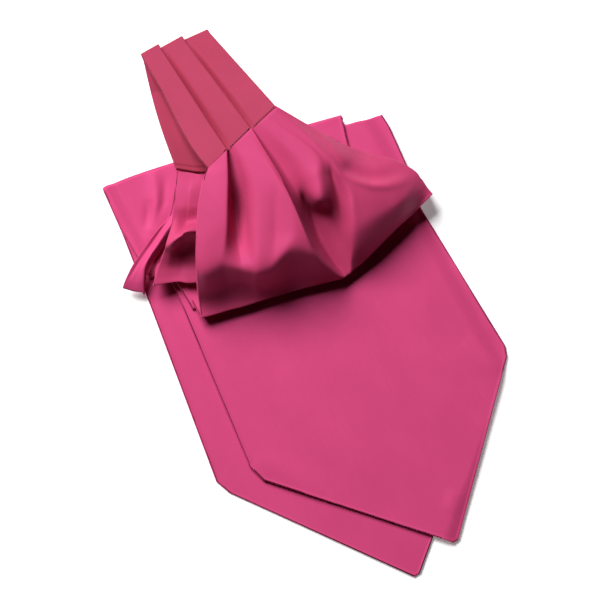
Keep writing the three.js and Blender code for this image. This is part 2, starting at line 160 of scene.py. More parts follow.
def folded_panel(blade, back, base, back_base, bow):
    """Outer and inner points of a blade, its fold and its return, as one sheet of cloth."""
    even = np.linspace(0, 1, ACROSS)
    share = even * (1 - EDGE_CROWDING) + (0.5 - 0.5 * np.cos(np.pi * even)) * EDGE_CROWDING
    bowed = lambda near: bow * near[:, None] ** BOW_NEAR_FOLD * np.sin(np.pi * np.sqrt(share))
    left, right, near = lines_across(blade)
    flat = left[:, None] * (1 - share[None, :, None]) + right[:, None] * share[None, :, None]
    flat[..., 1] += bowed(near)
    fold_x, fold_y = flat[-1, :, 0], flat[-1, :, 1]
    low = base(fold_x, fold_y)
    radius = (back_base(fold_x, fold_y) + CLOTH - low) / 2
    flat[..., 1] -= radius * smoothstep(near, 1 - 1 / (len(blade) - 1), 1)[:, None]
    level = base(flat[..., 0], flat[..., 1])
    outer = [np.dstack([flat, level])]
    inner = [np.dstack([flat, level + CLOTH])]
    for k in range(1, FOLD_STEPS):
        turn = np.pi * k / FOLD_STEPS
        for made, reach in ((outer, radius), (inner, radius - CLOTH)):
            y = fold_y - radius + reach * np.sin(turn)
            made.append(np.dstack([fold_x, y, low + radius - reach * np.cos(turn)]))
    left, right, near = lines_across(back)
    flat = left[:, None] * (1 - share[None, :, None]) + right[:, None] * share[None, :, None]
    flat[..., 1] += bowed(1 - near)
    flat[..., 1] -= radius * (1 - smoothstep(near, 0, 1 / (len(back) - 1)))[:, None]
    level = back_base(flat[..., 0], flat[..., 1])
    outer.append(np.dstack([flat, level + CLOTH]))
    inner.append(np.dstack([flat, level]))
    return np.concatenate(outer), np.concatenate(inner)


def crease(x, y, fold):
    """Height added by a soft crease along its path: above 0 a ridge, below 0 a trough."""
    path = np.array(fold["path"], float)
    lengths = np.hypot(*np.diff(path, axis=0).T)
    nearest = np.full(np.shape(x), np.inf)
    way = np.zeros(np.shape(x))
    start = 0.0
    for a, b, length in zip(path, path[1:], lengths):
        t = ((x - a[0]) * (b[0] - a[0]) + (y - a[1]) * (b[1] - a[1])) / length**2
        t = np.clip(t, 0, 1)
        away = np.hypot(x - a[0] - t * (b[0] - a[0]), y - a[1] - t * (b[1] - a[1]))
        closer = away < nearest
        nearest = np.where(closer, away, nearest)
        way = np.where(closer, (start + t * length) / lengths.sum(), way)
        start += length
    way = np.clip(way, CREASE_ENDS["least"], 1 - CREASE_ENDS["least"])
    ends = np.sin(np.pi * way) ** CREASE_ENDS["fade"]
    return fold["height"] * ends * np.exp(-((nearest / fold["width"]) ** 2))


def hem(surface):
    """Height added by the narrow hem along both side edges."""
    from_left = np.linalg.norm(surface - surface[:, :1], axis=2)
    from_right = np.linalg.norm(surface - surface[:, -1:], axis=2)
    return HEM["height"] * (1 - smoothstep(np.minimum(from_left, from_right), HEM["flat"], HEM["ends"]))


def swell(x, y, wave):
    """A smooth unevenness of the cloth, made of a few broad waves."""
    draw = np.random.default_rng(wave["seed"])
    total = np.zeros(np.shape(x))
    for angle, phase, stretch in draw.uniform(0, 1, (WAVES["count"], 3)):
        a = 2 * np.pi * angle
        size = wave["size"] * (WAVES["shortest"] + WAVES["range"] * stretch)
        run = (x * np.cos(a) + y * np.sin(a)) / size
        total += np.sin(2 * np.pi * (run + phase))
    return wave["height"] * total / WAVES["count"]


FLOATS = {"across": 5.5, "along": 0.9, "detail": 2, "strength": 0.25, "depth": 0.00006}
SLUBS = {"across": 1.6, "along": 0.07, "detail": 2, "strength": 0.2, "depth": 0.0001}
TONE = {"across": 0.045, "along": 0.03, "detail": 3}
NOISE_SPAN = {"low": 0.3, "high": 0.7}
TONE_SHARE = {"low": 0.1, "high": 0.7}
SLUB_SHARE = {"low": 0.0, "high": 0.3}
ROUGHNESS = {"low": 0.46, "high": 0.58}


def satin(name, deep, bright):
    """Satin: long floats of the weft that shine, faint slubs, and a slow change of tone."""
    material = bpy.data.materials.new(name)
    material.use_nodes = True
    nodes, links = material.node_tree.nodes, material.node_tree.links
    surface = nodes["Principled BSDF"]
    weave = nodes.new("ShaderNodeAttribute")
    weave.attribute_name = "weave"

    def streaks(thread):
        scaled = nodes.new("ShaderNodeVectorMath")
        scaled.operation = "MULTIPLY"
        scaled.inputs[1].default_value = (thread["across"], thread["along"], 1)
        noise = nodes.new("ShaderNodeTexNoise")
        noise.inputs["Scale"].default_value = 1
        noise.inputs["Detail"].default_value = thread["detail"]
        links.new(weave.outputs["Vector"], scaled.inputs[0])
        links.new(scaled.outputs["Vector"], noise.inputs["Vector"])
        return noise.outputs["Fac"]

    def ranged(value, span):
        between = nodes.new("ShaderNodeMapRange")
        between.inputs["From Min"].default_value = NOISE_SPAN["low"]
        between.inputs["From Max"].default_value = NOISE_SPAN["high"]
        between.inputs["To Min"].default_value = span["low"]
        between.inputs["To Max"].default_value = span["high"]
        links.new(value, between.inputs["Value"])
        return between.outputs["Result"]

    floats, slubs, tone = streaks(FLOATS), streaks(SLUBS), streaks(TONE)
    dye = nodes.new("ShaderNodeMix")
    dye.data_type = "RGBA"
    dye.inputs["A"].default_value = (*deep, 1)
    dye.inputs["B"].default_value = (*bright, 1)
    shade = nodes.new("ShaderNodeMath")
    shade.operation = "ADD"
    links.new(ranged(tone, TONE_SHARE), shade.inputs[0])
    links.new(ranged(slubs, SLUB_SHARE), shade.inputs[1])
    links.new(shade.outputs["Value"], dye.inputs["Factor"])
    links.new(dye.outputs["Result"], surface.inputs["Base Color"])
    links.new(ranged(floats, ROUGHNESS), surface.inputs["Roughness"])
    previous = None
    for height, thread in ((floats, FLOATS), (slubs, SLUBS)):
        bump = nodes.new("ShaderNodeBump")
        bump.inputs["Strength"].default_value = thread["strength"]
        bump.inputs["Distance"].default_value = thread["depth"]
        links.new(height, bump.inputs["Height"])
        if previous:
            links.new(previous, bump.inputs["Normal"])
        previous = bump.outputs["Normal"]
    links.new(previous, surface.inputs["Normal"])
    surface.inputs["Metallic"].default_value = 0
    surface.inputs["IOR"].default_value = 1.55
    surface.inputs["Specular IOR Level"].default_value = 0.14
    surface.inputs["Specular Tint"].default_value = (1, 0.3, 0.8, 1)
    surface.inputs["Sheen Weight"].default_value = 0.04
    surface.inputs["Sheen Roughness"].default_value = 0.4
    surface.inputs["Sheen Tint"].default_value = (1, 0.3, 0.7, 1)
    return material


rose_satin = satin("rose satin", (0.48, 0.046, 0.142), (0.545, 0.055, 0.165))


def sewn_piece(name, outer, inner, layers=1, cloth=rose_satin):
    """A closed piece of cloth between two grids of points, its edges rounded in layers."""
    rows, columns = outer.shape[:2]
    ring = [(0, c) for c in range(columns)] + [(r, columns - 1) for r in range(1, rows)]
    ring += [(rows - 1, c) for c in range(columns - 2, -1, -1)] + [(r, 0) for r in range(rows - 2, 0, -1)]
    r, c = np.array(ring).T
    half = (outer + inner) / 2
    down, over = np.gradient(half, axis=0), np.gradient(half, axis=1)
    unit = lambda v: v / np.maximum(np.linalg.norm(v, axis=-1, keepdims=True), 1e-9)
    down, over = unit(down), unit(over)
    out = (r == rows - 1)[:, None] * down[r, c] - (r == 0)[:, None] * down[r, c]
    out = out + (c == columns - 1)[:, None] * over[r, c] - (c == 0)[:, None] * over[r, c]
    out = unit(out)
    top, bottom = outer[r, c], inner[r, c]
    thick = np.linalg.norm(top - bottom, axis=1, keepdims=True) * RIM_BULGE / layers
    steps = RIM_STEPS * layers
    rim = []
    for k in range(steps + 1):
        t = k / steps
        lobe = abs(np.sin(np.pi * layers * t)) ** RIM_ROUNDNESS - 1
        rim.append(top * (1 - t) + bottom * t + out * thick * lobe)
    outer, inner = outer.copy(), inner.copy()
    outer[r, c], inner[r, c] = rim[0], rim[-1]
    points = np.concatenate([outer.reshape(-1, 3), inner.reshape(-1, 3), *rim[1:-1]])
    grid = np.arange(rows * columns).reshape(rows, columns)
    quad = lambda g: np.stack([g[:-1, :-1], g[:-1, 1:], g[1:, 1:], g[1:, :-1]], -1).reshape(-1, 4)
    count = len(ring)
    loops = [grid[r, c]] + [2 * rows * columns + k * count + np.arange(count) for k in range(steps - 1)]
    loops += [grid[r, c] + rows * columns]
    faces = [quad(grid), quad(grid + rows * columns)[:, ::-1]]
    for a, b in zip(loops, loops[1:]):
        faces.append(np.stack([np.roll(a, -1), a, b, np.roll(b, -1)], -1))
    faces = np.concatenate(faces)
    a, b, d = points[faces[:, 0]], points[faces[:, 1]], points[faces[:, 2]]
    if np.einsum("ij,ij->i", a, np.cross(b, d)).sum() < 0:
        faces = faces[:, ::-1]
    steps_over = np.linalg.norm(np.diff(half, axis=1), axis=2)
    steps_down = np.linalg.norm(np.diff(half, axis=0), axis=2)
    u = np.hstack([np.zeros((rows, 1)), np.cumsum(steps_over, 1)])
    v = np.vstack([np.zeros((1, columns)), np.cumsum(steps_down, 0)])
    u, v = u - u[:, columns // 2, None], np.broadcast_to(v[:, columns // 2, None], v.shape)
    weave = np.dstack([u, v, np.zeros_like(u)])
    weave = np.concatenate([weave.reshape(-1, 3)] * 2 + [weave[r, c]] * (steps - 1))
    mesh = bpy.data.meshes.new(name)
    mesh.from_pydata(((points - MIDDLE) * MM).tolist(), [], faces.tolist())
    mesh.attributes.new("weave", "FLOAT_VECTOR", "POINT").data.foreach_set("vector", weave.ravel())
    mesh.polygons.foreach_set("use_smooth", np.ones(len(faces), bool))
    mesh.materials.append(cloth)
    piece = bpy.data.objects.new(name, mesh)
    bpy.context.collection.objects.link(piece)
    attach(piece, "root")
    return piece


def rear_return_base(x, y):
    """Height below the rear return: three layers, and one past the front blade at its left."""
    return LAYER + 2 * LAYER * smoothstep(x, RETURN_SAG["ends"], RETURN_SAG["starts"])


def on_table(x, y):
    """The table's height."""
    return 0 * x


outer, inner = folded_panel(REAR_BLADE, REAR_RETURN, on_table, rear_return_base, REAR_FOLD_BOW)
front = slice(0, sum(row["rows"] for row in REAR_BLADE) + 1)
back = slice(front.stop + FOLD_STEPS, None)
for surface in (outer, inner):
    x, y = surface[..., 0], surface[..., 1]
    lift = sum(crease(x, y, fold) for fold in RETURN_CREASES) + swell(x, y, RETURN_SWELL)
    surface[back, :, 2] += lift[back]
inner[front, :, 2] += hem(inner[front])
outer[back, :, 2] += hem(outer[back])
rear_blade = sewn_piece("rear_blade_cloth", outer, inner)
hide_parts("rear_blade")

# The front blade: the same cloth, over the rear one and a little to its right. It comes up to
# its own fold at the top right, and its return runs back down into the puff.
FRONT_BLADE = [
    {"at": "point", "left": (12.4, -154.6), "right": (15.2, -154.4), "rows": 60},
    {"at": "below the shoulders", "left": (-62.5, -79), "right": (85.2, -78.5), "rows": 5},
    {"at": "above the shoulders", "left": (-65.7, -69), "right": (87, -73), "rows": 60},
    {"at": "under the puff", "left": (-58, 34), "right": (82, 15), "rows": 36},
    {"at": "fold", "left": (-58.5, 97), "right": (87.3, 73), "rows": 0},
]
FRONT_RETURN = [
    {"at": "fold", "left": (-58.5, 97), "right": (87.3, 73), "rows": 10},
    {"at": "right edge", "left": (-58.3, 85), "right": (87.8, 63), "rows": 40},
    {"at": "end in the puff", "left": (-54.5, 20.5), "right": (85, 22), "rows": 0},
]
BLADE_CREASES = [
    {"path": [(-62, -66), (-52, -76), (-36, -102)], "width": 7, "height": 0.7},
    {"path": [(17, -140), (27, -130)], "width": 4, "height": 0.5},
    {"path": [(84, -88), (72, -76), (66, -60)], "width": 6, "height": 0.6},
]
BLADE_SWELL = {"seed": 11, "size": 60, "height": 0.35}
SAG = {"starts": 5, "ends": 14}
RETURN_BRIDGE = 3


def front_base(x, y):
    """The rear blade's top, or the table where the front blade reaches past it."""
    low, high = REAR_BLADE[2]["right"], REAR_BLADE[5]["right"]
    past_side = x - (low[0] + (high[0] - low[0]) * (y - low[1]) / (high[1] - low[1]))
    point, shoulder = np.array(REAR_BLADE[0]["right"]), np.array(REAR_BLADE[1]["right"])
    along = (shoulder - point) / np.hypot(*(shoulder - point))
    past_point = (x - point[0]) * along[1] - (y - point[1]) * along[0]
    return LAYER * (1 - smoothstep(np.maximum(past_side, past_point), SAG["starts"], SAG["ends"]))


def front_return_base(x, y):
    """The front blade's top, which the front return lies on."""
    return front_base(x - RETURN_BRIDGE, y) + LAYER


outer, inner = folded_panel(FRONT_BLADE, FRONT_RETURN, front_base, front_return_base, 0)
front = slice(0, sum(row["rows"] for row in FRONT_BLADE) + 1)
back = slice(front.stop + FOLD_STEPS, None)
for surface in (outer, inner):
    x, y = surface[..., 0], surface[..., 1]
    lift = sum(crease(x, y, fold) for fold in BLADE_CREASES)
    lift = lift + (swell(x, y, BLADE_SWELL) + BLADE_SWELL["height"])
    surface[front, :, 2] += np.maximum(lift, 0)[front]
inner[front, :, 2] += hem(inner[front])
outer[back, :, 2] += hem(outer[back])
front_blade = sewn_piece("front_blade_cloth", outer, inner)
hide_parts("front_blade")

# The rear fan's outermost pleat: a flat, creased strip that ends in the hem. It slips out from
# under the rear fan at the left and lies on the rear return.
# A row is one fold: its name, where it starts, its places down the fan and down the rolled
# face, where it turns under, and how far it is tucked.
FOLDS = ("fold", "seam", "down", "face", "turn", "tuck")
HEM_PLEAT = [
    ["hem", (-31, 87.4, 9.6),
     [(-42, 72.4, 10.4), (-51.5, 67.8, 10.9), (-59.5, 63.7, 11.2), (-65.7, 60.4, 11)],
     [(-72.1, 56.7, 10.4), (-77.4, 52.9, 9.2), (-81, 50, 8)], (-83.1, 48, 6.6)],
    ["pleat's flat", (-29.6, 87, 9.8),
     [(-41, 70.7, 10.6), (-49.8, 65, 11.2), (-57.9, 60.3, 11.6), (-63.4, 56.5, 11.8)],
     [(-70.2, 53.2, 10.6), (-74.6, 49.3, 9), (-77.4, 46.5, 7.4)], (-78.9, 44.2, 6)],
    ["crease", (-28, 86.4, 10),
     [(-40.3, 69.6, 11), (-48.7, 63.8, 12), (-56.5, 58.9, 12.8), (-61.6, 55.9, 13.2)],
     [(-67.2, 51.7, 12), (-70.8, 46.6, 10), (-73, 43.2, 7.6)], (-74.3, 40.8, 5.8)],
    ["hidden edge", (-25, 85, 9.6),
     [(-38.3, 67.7, 9.4), (-46.8, 62, 8.8), (-54.8, 57, 8.6), (-59.6, 54, 8.6)],
     [(-66.4, 50.4, 7.6), (-70.2, 45.4, 6.2), (-72.4, 41.8, 5.2)], (-73.7, 39.5, 4.4)],
]
HEM_LINE = {
    "path": [(-41.5, 71.6), (-51.1, 66.1), (-58.7, 61.8), (-65.3, 58.2), (-70.9, 55), (-77, 51)],
    "width": 0.9,
    "height": -1,
}
FAN_CLOTH = 1.2
TUCK = (0, 12)
UNDER_LIP = {"way": 0.3, "drop": 0.75}
DOWN_STEPS = [16, 14, 14, 12, 10, 10, 8, 6, 6, 8]
REAR_STEPS = 14


def spline(stations, steps):
    """Points on a smooth curve through the stations, with that many steps to each stretch."""
    s = np.asarray(stations, float)
    padded = np.concatenate([2 * s[:1] - s[1:2], s, 2 * s[-1:] - s[-2:-1]])
    points = []
    for i in range(len(s) - 1):
        a, b, c, d = padded[i : i + 4]
        leave, arrive = (c - a) / 2, (d - b) / 2
        count = steps[i] if hasattr(steps, "__len__") else steps
        for t in np.arange(count) / count:
            cubic = (2 * b - 2 * c + leave + arrive) * t**3 + (3 * c - 3 * b - 2 * leave - arrive) * t**2
            points.append(cubic + leave * t + b)
    return np.array(points + [s[-1]])


def fold_line(row, start, floor=None):
    """The named points of one fold: down the fan, down its rolled face, and under to its end."""
    row = dict(zip(FOLDS, row))
    turn = np.array(row["turn"], float)
    line = [np.array(point, float) for point in (start, *row["down"], *row["face"], turn)]
    if floor:
        end = turn + np.array([*row.get("tuck", TUCK), 0])
        end[2] = floor(end[0], end[1])
        under = turn * (1 - UNDER_LIP["way"]) + end * UNDER_LIP["way"]
        under[2] = turn[2] * (1 - UNDER_LIP["drop"]) + end[2] * UNDER_LIP["drop"]
        line += [under, end]
    return np.array(line)


def softened(grid, passes):
    """The grid with its sharp turns eased, and its edges as they are."""
    for _ in range(passes):
        eased = grid.copy()
        eased[:, 1:-1] = (grid[:, :-2] + 2 * grid[:, 1:-1] + grid[:, 2:]) / 4
        grid = eased.copy()
        grid[1:-1] = (eased[:-2] + 2 * eased[1:-1] + eased[2:]) / 4
    return grid


def inside_of(grid, thickness):
    """The inner face of a draped sheet: its grid moved in, square to its surface."""
    smooth = softened(grid, 3)
    normal = np.cross(np.gradient(smooth, axis=0), np.gradient(smooth, axis=1))
    normal /= np.maximum(np.linalg.norm(normal, axis=2, keepdims=True), 1e-9)
    return grid - thickness * softened(normal, 2)


stations = np.array([fold_line(row, row[1]) for row in HEM_PLEAT])
grid = spline(spline(stations, REAR_STEPS).transpose(1, 0, 2), DOWN_STEPS)
grid[..., 2] += crease(grid[..., 0], grid[..., 1], HEM_LINE)
hem_pleat = sewn_piece("rear_hem_pleat_cloth", grid, inside_of(grid, FAN_CLOTH))
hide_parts("rear_hem_pleat")

# The rear fan: the rear half's cloth, opening out of the band's lower seam. It is nearly all
# under the front fan. At the left its top, its hollow and its dark rolled face show.
REAR_FAN = [
    ["folded edge", 0,
     [(-32.3, 84.5, 14.6), (-38, 75.4, 15), (-43.7, 66.6, 15), (-51.8, 56.6, 21.6)],
     [(-55.4, 53, 17), (-59.8, 49.4, 13.6), (-64.4, 44.7, 12.4)], (-68.1, 40.5, 11.8), (6, 8)],
    ["near the edge", 0.09,
     [(-30.3, 82.1, 15), (-35.7, 73, 15.2), (-40.8, 65.4, 15), (-48.6, 54.8, 27)],
     [(-51, 51.2, 18), (-55.3, 47, 13), (-59.4, 42.8, 11.8)], (-62.2, 39, 11.4), (3, 12)],
    ["hollow and ridge", 0.18,
     [(-27.2, 79.7, 15.4), (-32.1, 71.1, 15.4), (-37.6, 62.6, 13.6), (-43.4, 54.8, 29)],
     [(-44.9, 51.9, 17), (-48.6, 45.6, 11.4), (-52.6, 40.1, 10.6)], (-54.5, 36.5, 10.6)],
    ["at the front fan", 0.27,
     [(-23.8, 77.9, 15.8), (-28.5, 69.2, 15.4), (-33.4, 61.4, 13.8), (-37.3, 54.4, 30)],
     [(-38.7, 50.7, 17.5), (-42.3, 43, 11.6), (-45.5, 36.6, 11.2)], (-47.3, 32.2, 10.6)],
    ["hidden, left", 0.5,
     [(-3.5, 74, 14), (-6.5, 64, 13.6), (-10, 54, 13.4), (-13, 46, 13.6)],
     [(-15.5, 38.5, 12.6), (-18.3, 31, 11.8), (-20.2, 26.5, 11.2)], (-21, 24, 10.6)],
    ["hidden, middle", 0.77,
     [(16, 75, 14.4), (15, 64, 14), (14, 52, 13.6), (12.5, 42, 13.4)],
     [(12, 34.5, 12.8), (11.5, 27.5, 11.8), (11.1, 22.5, 11)], (11, 20, 10.6)],
    ["hidden, right edge", 1,
     [(29, 80, 14.6), (37, 70, 14.2), (48, 56, 13.4), (57, 44, 12.6)],
     [(59, 38.5, 12.3), (60.5, 33.5, 11.7), (61.5, 30.5, 11)], (62, 29, 10.4)],
]
RIDGE_GROOVE = {"path": [(-36, 57.5), (-42.5, 57.5), (-50, 57)], "width": 1.6, "height": -1.6}
REAR_SEAM = [(-28, 92.6), (-14, 83.6), (3, 82.2), (24, 88.6)]
REAR_SEAM_HEIGHT = 13.4
SEAM_STEPS = 100
SEAM_GAP = 0.6
ON_HEM = {"starts": -54.5, "ends": -58, "lift": 0.9}


def rear_floor(x, y):
    """Where the rear fan ends: on the rear return, and at its left on the hem pleat."""
    on_hem = ON_HEM["lift"] * smoothstep(-x, -ON_HEM["starts"], -ON_HEM["ends"])
    return rear_return_base(x, y) + LAYER + on_hem


rear_seam = spline(np.array([(x, y, REAR_SEAM_HEIGHT) for x, y in REAR_SEAM]), SEAM_STEPS)


def seam_at(share):
    """The place that far along the seam, from its left end."""
    return rear_seam[int(round(share * (len(rear_seam) - 1)))]


# The fans' cloth is the same satin made darker: painted shade, set against the lamp lighting their tilted
# pleats too brightly.
fan_satin_painted_shade = satin("rose satin, painted shade on the fans", (0.4, 0.037, 0.108), (0.455, 0.044, 0.126))
stations = [fold_line(row, seam_at(row[1]) - (0, SEAM_GAP, 0), rear_floor) for row in REAR_FAN]
grid = softened(spline(spline(np.array(stations), REAR_STEPS).transpose(1, 0, 2), DOWN_STEPS), 1)
grid[..., 2] += crease(grid[..., 0], grid[..., 1], RIDGE_GROOVE)
rear_fan = sewn_piece("rear_fan_cloth", grid, inside_of(grid, FAN_CLOTH), cloth=fan_satin_painted_shade)
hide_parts("rear_fan")

# The neck band: the cloth pressed into three knife pleats that lie over each other, doubled at
# the middle of the neck. Its upper leg shows the pleats, its lower leg ends in the rear seam.
BAND_PLEATS = [
    {"name": "left", "from": 0, "to": 0.29, "low": 0.5, "high": 2.9},
    {"name": "middle", "from": 0.296, "to": 0.64, "low": -0.2, "high": 2.5},
    {"name": "right", "from": 0.646, "to": 1, "low": -0.7, "high": 0.5},
]
STITCHES = {"left": (-14, 80.2), "right": (34, 94.3), "height": 31.2}
BAND_TOP = {"left": (-15.5, 159.6), "right": (23.8, 155.6), "height": 5.8}
BAND_WALL = 2.6
BAND_FOLD_DEPTH = 3
BAND_FOLD_HOLLOW = 0.6
REAR_LEG_WALL = 2.3
REAR_LEG_LIFT = [0, 0.1, 0.34, 0.62, 0.84, 1]
REAR_LEG_LEFT_BOW = 1.5
LEG_STEPS = 20
BAND_EDGE_BOW = {"way": [0, 0.1, 0.2, 0.4, 0.7, 1], "out": [0, 1.3, 2.1, 1.9, 0.2, 0]}
EDGE_ONLY = 8
GROOVE = {"depth": 1.7, "width": 0.032, "fade": 0.7}
PLEAT_COLUMNS = 26
BAND_ROWS = 90
TUCKED_UNDER = [{"back": -0.006, "held": 0.55}, {"back": -0.012, "held": 0.1}]
TUCK_DROP = 0.1
PLEAT_CROWDING = 1.4
SEAM_RIDGE = 0.7
SEAM_RIDGES = [{"way": 0.985, "width": 0.01}, {"way": 0.94, "width": 0.012}]


def across_line(line, share):
    """Places on the straight line between a left and a right end."""
    share = np.asarray(share, float)[:, None]
    return np.array(line["left"]) * (1 - share) + np.array(line["right"]) * share


def band_points(share, lift, way):
    """Places on the upper leg: share across, lift out of it, way from the stitches to the top."""
    share = np.asarray(share, float)
    flat = across_line(STITCHES, share) * (1 - way) + across_line(BAND_TOP, share) * way
    flat[:, 0] -= np.interp(way, BAND_EDGE_BOW["way"], BAND_EDGE_BOW["out"]) * (1 - share) ** EDGE_ONLY
    height = STITCHES["height"] * (1 - way) + BAND_TOP["height"] * way
    return np.column_stack([flat, height + lift * np.ones(len(flat))])


# The neck band's cloth is the same satin made darker still: painted shade, set against the lamp lighting
# its tilted upper leg too brightly.
band_satin_painted_shade = satin("rose satin, painted shade on the band", (0.25, 0.024, 0.047), (0.3, 0.029, 0.056))
share, lift, groove = [], [], []
for i, pleat in enumerate(BAND_PLEATS):
    part = np.linspace(0, 1, PLEAT_COLUMNS) ** PLEAT_CROWDING
    width = pleat["to"] - pleat["from"]
    in_groove = np.exp(-((part * width / GROOVE["width"]) ** 2))
    groove += list(-(i > 0) * GROOVE["depth"] * in_groove)
    share += list(pleat["from"] + width * part)
    lift += list(pleat["low"] + (pleat["high"] - pleat["low"]) * part)
    if i + 1 < len(BAND_PLEATS):
        after = BAND_PLEATS[i + 1]["low"]
        for tuck in TUCKED_UNDER:
            share.append(pleat["to"] + tuck["back"])
            lift.append(after + tuck["held"] * (pleat["high"] - after) - TUCK_DROP)
            groove.append(-GROOVE["depth"] * (1 - tuck["held"]))
share, lift, groove = np.array(share), np.array(lift), np.array(groove)
plain = np.linspace(0, 1, len(share))
outer, inner = [], []
for way in np.linspace(0, 1, BAND_ROWS):
    grooved = lift + groove * np.sin(np.pi * way) ** GROOVE["fade"]
    outer.append(band_points(share, grooved, way))
    inner.append(band_points(plain, -BAND_WALL, way))
top = BAND_TOP["height"]
for k in range(1, FOLD_STEPS):
    turn = np.pi * k / FOLD_STEPS
    upper = (1 + np.cos(turn)) / 2
    line = across_line(BAND_TOP, share)
    line[:, 1] += (BAND_FOLD_DEPTH + lift * upper) * np.sin(turn)
    outer.append(np.column_stack([line, (top + lift) * upper]))
    line = across_line(BAND_TOP, plain)
    line[:, 1] += BAND_FOLD_HOLLOW * np.sin(turn)
    height = REAR_LEG_WALL + (top - BAND_WALL - REAR_LEG_WALL) * upper
    inner.append(np.column_stack([line, np.full(len(plain), height)]))
seam_line = np.array([seam_at(s) for s in plain])
leg_lift = spline(np.array(REAR_LEG_LIFT)[:, None], LEG_STEPS)[:, 0]
for way in np.linspace(0, 1, BAND_ROWS):
    lifted = REAR_SEAM_HEIGHT * np.interp(way, np.linspace(0, 1, len(leg_lift)), leg_lift)
    line = across_line(BAND_TOP, plain) * (1 - way) + seam_line[:, :2] * way
    line[:, 0] -= REAR_LEG_LEFT_BOW * np.sin(np.pi * way) * (1 - plain)
    low = max(0, lifted - BAND_WALL)
    ridges = sum(np.exp(-(((way - ridge["way"]) / ridge["width"]) ** 2)) for ridge in SEAM_RIDGES)
    outer.append(np.column_stack([line, np.full(len(plain), low)]))
    top_of_leg = low + REAR_LEG_WALL + SEAM_RIDGE * ridges
    inner.append(np.column_stack([line, np.full(len(plain), top_of_leg)]))
outer, inner = softened(np.array(outer), 1), np.array(inner)
neck_band = sewn_piece("neck_band_cloth", outer, inner, layers=3, cloth=band_satin_painted_shade)
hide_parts("neck_band")

# The stitches: a running stitch of dark pink thread across the middle and the right pleat, just
# above the line where the neck band ends. It holds the pleats and goes with the band's cloth.
THREAD = {"stitch": 0.85, "apart": 1.35, "thick": 0.46, "above": 0.35, "sides": 6}
THREAD_COLOUR = (0.13, 0.01, 0.03, 1)
THREAD_ROUGHNESS = 0.6
STITCHED = {"way": 0.016, "from_left": 0.03, "from_right": 0.02}
STITCH_FORM = [(-0.5, 0), (-0.4, 0.8), (0, 1), (0.4, 0.8), (0.5, 0)]


def on_pleat(pleat, part, way, above=0):
    """The place that far across one pleat of the upper leg, and that far above its cloth."""
    across = pleat["from"] + (pleat["to"] - pleat["from"]) * part
    out = pleat["low"] + (pleat["high"] - pleat["low"]) * part
    return band_points([across], out + above, way)[0]


def one_stitch(line, first):
    """Points and faces of one stitch, round and with pointed ends, from its places and radii."""
    along = line[-1][0] - line[0][0]
    along /= np.linalg.norm(along)
    aside = np.cross(along, (0, 0, 1))
    above = np.cross(aside, along)
    sides = THREAD["sides"]
    points, faces = [line[0][0]], []
    for centre, radius in line[1:-1]:
        for turn in 2 * np.pi * np.arange(sides) / sides:
            points.append(centre + radius * (np.cos(turn) * aside + np.sin(turn) * above))
    points.append(line[-1][0])
    last = first + len(points) - 1
    for side in range(sides):
        a, b = first + 1 + side, first + 1 + (side + 1) % sides
        faces.append((first, b, a))
        for ring in (0, sides):
            faces.append((a + ring, b + ring, b + ring + sides, a + ring + sides))
        faces.append((a + 2 * sides, b + 2 * sides, last))
    return points, faces


points, faces = [], []
for pleat in BAND_PLEATS[1:]:
    width = pleat["to"] - pleat["from"]
    starts, ends = STITCHED["from_left"] / width, 1 - STITCHED["from_right"] / width
    shares = [pleat["from"] + width * starts, pleat["from"] + width * ends]
    left, right = band_points(shares, 0, STITCHED["way"])
    length = np.linalg.norm(right - left)
    count = int(length / THREAD["apart"])
    for middle in (np.arange(count) + 0.5) / count:
        line = []
        for t, swelling in STITCH_FORM:
            part = starts + (ends - starts) * (middle + t * THREAD["stitch"] / length)
            place = on_pleat(pleat, part, STITCHED["way"], THREAD["above"])
            line.append((place, swelling * THREAD["thick"] / 2))
        more_points, more_faces = one_stitch(line, len(points))
        points += more_points
        faces += more_faces
stitch_mesh = bpy.data.meshes.new("stitches")
stitch_mesh.from_pydata(((np.array(points) - MIDDLE) * MM).tolist(), [], faces)
thread_look = bpy.data.materials.new("dark pink thread")
thread_look.use_nodes = True
thread_surface = thread_look.node_tree.nodes["Principled BSDF"]
thread_surface.inputs["Base Color"].default_value = THREAD_COLOUR
thread_surface.inputs["Roughness"].default_value = THREAD_ROUGHNESS
stitch_mesh.materials.append(thread_look)
stitches = bpy.data.objects.new("stitches", stitch_mesh)
bpy.context.collection.objects.link(stitches)
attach(stitches, "root")

